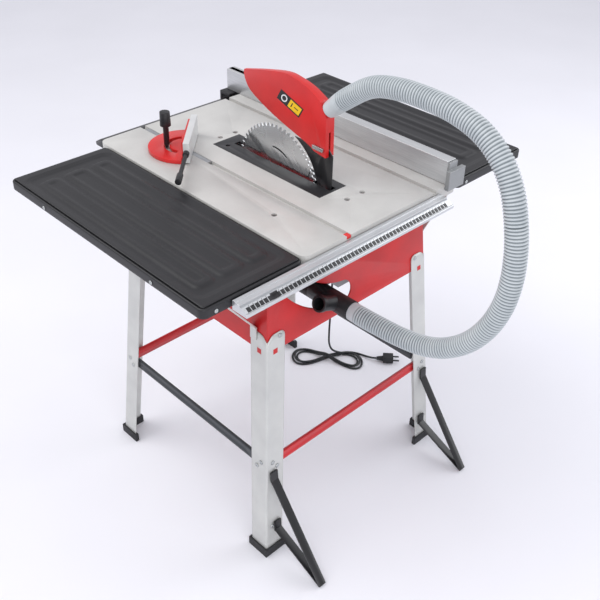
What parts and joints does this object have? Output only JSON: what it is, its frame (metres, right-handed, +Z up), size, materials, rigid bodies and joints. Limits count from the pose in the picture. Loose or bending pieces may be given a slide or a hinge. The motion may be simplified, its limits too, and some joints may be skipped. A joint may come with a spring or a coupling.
{
  "type": "table saw",
  "caption": "Site table saw on a splayed steel stand with side extensions, rip fence, swivelled mitre gauge, hooded tilting blade and a dust hose looped behind.",
  "frame": {"origin": "middle of the footprint on the floor, without the hose and the mains lead", "axes": "+Z up, +X to the operator's right, +Y the way the wood is fed, the operator stands at -Y"},
  "size_m": [0.959, 1.0719, 1.109],
  "materials": {
    "table": "light grey paint, fine texture",
    "charcoal": "charcoal paint, satin",
    "leg": "light grey powder coat",
    "red_plastic": "moulded red plastic",
    "red_paint": "red paint, satin",
    "dark_paint": "dark grey paint",
    "black_plastic": "moulded black plastic",
    "rubber": "black rubber",
    "aluminium": "extruded, satin",
    "steel": "ground and polished",
    "cast_metal": "die cast",
    "hose": "corrugated grey plastic",
    "green_plastic": "moulded green plastic",
    "steel_black": "black paint on steel strip"
  },
  "bodies": {
    "stand": {"leg_rear_right": "leg", "leg_rear_left": "leg", "leg_front_right": "leg", "leg_front_left": "leg", "foot_rear_right": "rubber", "foot_rear_left": "rubber", "foot_front_right": "rubber", "foot_front_left": "rubber", "strut_rear_right": "leg", "strut_rear_left": "leg", "strut_front_right": "leg", "strut_front_left": "leg", "brace_rear": "red_paint", "brace_front": "red_paint", "brace_right": "dark_paint", "brace_left": "dark_paint", "stabiliser_right": "steel_black", "stabiliser_left": "steel_black", "housing": "red_plastic", "main_table": "table", "table_insert": "black_plastic", "extension_right": "charcoal", "extension_left": "charcoal", "rear_rail": "aluminium", "front_rail": "aluminium", "switch_box": "black_plastic", "cable_gland": "rubber", "cable_bundle": "rubber", "cable_drop": "rubber", "cable_tail": "rubber", "mains_plug": "rubber"},
    "saw_unit": {"tilt_frame": "cast_metal", "dust_chute": "black_plastic", "y_connector": "black_plastic", "hose_lower": "hose"},
    "lift": {"lift_carriage": "cast_metal", "motor": "dark_paint", "riving_knife": "steel_black", "hose_upper": "hose"},
    "handwheel": {"handwheel": "black_plastic", "handwheel_shaft": "steel"},
    "crank_grip": {"crank_grip": "black_plastic"},
    "height_screw": {"height_screw": "steel"},
    "tilt_lock": {"tilt_lock_knob": "black_plastic"},
    "blade": {"saw_blade": "steel", "arbor_shaft": "steel", "flange_nut": "steel"},
    "guard": {"blade_guard": "red_plastic", "guard_wing_screw": "steel"},
    "rip_fence": {"fence": "aluminium", "fence_carrier_rear": "table", "fence_carrier_front": "black_plastic"},
    "fence_lever": {"fence_lock_lever": "black_plastic"},
    "mitre_bar": {"mitre_bar": "steel"},
    "mitre_head": {"mitre_head": "red_plastic", "mitre_fence": "aluminium"},
    "mitre_knob": {"mitre_knob": "black_plastic"},
    "start_button": {"start_button": "green_plastic"},
    "stop_button": {"stop_button": "red_plastic"},
    "overload_button": {"overload_button": "black_plastic"}
  },
  "joints": [
    {"name": "blade_tilt", "type": "hinge", "parent": "stand", "child": "saw_unit", "pos_m": [0, -0.01106, 0.82], "axis": [0, -1, 0], "range_deg": [0, 45]},
    {"name": "blade_height", "type": "slide", "parent": "saw_unit", "child": "lift", "axis": [0, 0, 1], "range_m": [-0.068, 0], "deforming": ["hose_lower"]},
    {"name": "handwheel_turn", "type": "hinge", "parent": "saw_unit", "child": "handwheel", "pos_m": [-0.05, -0.31106, 0.6], "axis": [0, 1, 0], "range_deg": [-6122, 2]},
    {"name": "height_screw_turn", "type": "hinge", "parent": "saw_unit", "child": "height_screw", "pos_m": [-0.05, -0.11106, 0.6], "axis": [0, 0, 1], "range_deg": [-6122, 2]},
    {"name": "crank_grip_spin", "type": "hinge", "parent": "handwheel", "child": "crank_grip", "pos_m": [0.004, -0.34105, 0.6], "axis": [0, 1, 0], "continuous": true},
    {"name": "tilt_lock_turn", "type": "hinge", "parent": "saw_unit", "child": "tilt_lock", "pos_m": [-0.13516, -0.26105, 0.63936], "axis": [0, 1, 0], "range_deg": [-180, 0]},
    {"name": "blade_spin", "type": "hinge", "parent": "lift", "child": "blade", "pos_m": [0, -0.01106, 0.782], "axis": [1, 0, 0], "continuous": true},
    {"name": "guard_pivot", "type": "hinge", "parent": "lift", "child": "guard", "pos_m": [0, 0.12495, 0.905], "axis": [1, 0, 0], "range_deg": [-2, 30], "deforming": ["hose_upper"]},
    {"name": "fence_slide", "type": "slide", "parent": "stand", "child": "rip_fence", "axis": [1, 0, 0], "range_m": [-0.02, 0.09]},
    {"name": "fence_lever_turn", "type": "hinge", "parent": "rip_fence", "child": "fence_lever", "pos_m": [-0.203, -0.41906, 0.806], "axis": [1, 0, 0], "range_deg": [-75, 0]},
    {"name": "mitre_slide", "type": "slide", "parent": "stand", "child": "mitre_bar", "axis": [0, 1, 0], "range_m": [-0.05, 0.35]},
    {"name": "mitre_swivel", "type": "hinge", "parent": "mitre_bar", "child": "mitre_head", "pos_m": [0.11, -0.20106, 0.824], "axis": [0, 0, 1], "range_deg": [-105, 15]},
    {"name": "mitre_knob_turn", "type": "hinge", "parent": "mitre_head", "child": "mitre_knob", "pos_m": [0.13687, -0.22792, 0.86], "axis": [0, 0, 1], "range_deg": [0, 360]},
    {"name": "start_press", "type": "slide", "parent": "stand", "child": "start_button", "axis": [0, 1, 0], "range_m": [0, 0.003], "stiffness_N_per_m": 1200},
    {"name": "stop_press", "type": "slide", "parent": "stand", "child": "stop_button", "axis": [0, 1, 0], "range_m": [0, 0.003], "stiffness_N_per_m": 1200},
    {"name": "overload_press", "type": "slide", "parent": "stand", "child": "overload_button", "axis": [0, 0, 1], "range_m": [0, 0.004], "stiffness_N_per_m": 800}
  ],
  "couplings": [
    {"joint": "handwheel_turn", "follows": "blade_height", "rad_per_m": 1570.8},
    {"joint": "height_screw_turn", "follows": "blade_height", "rad_per_m": 1570.8}
  ]
}
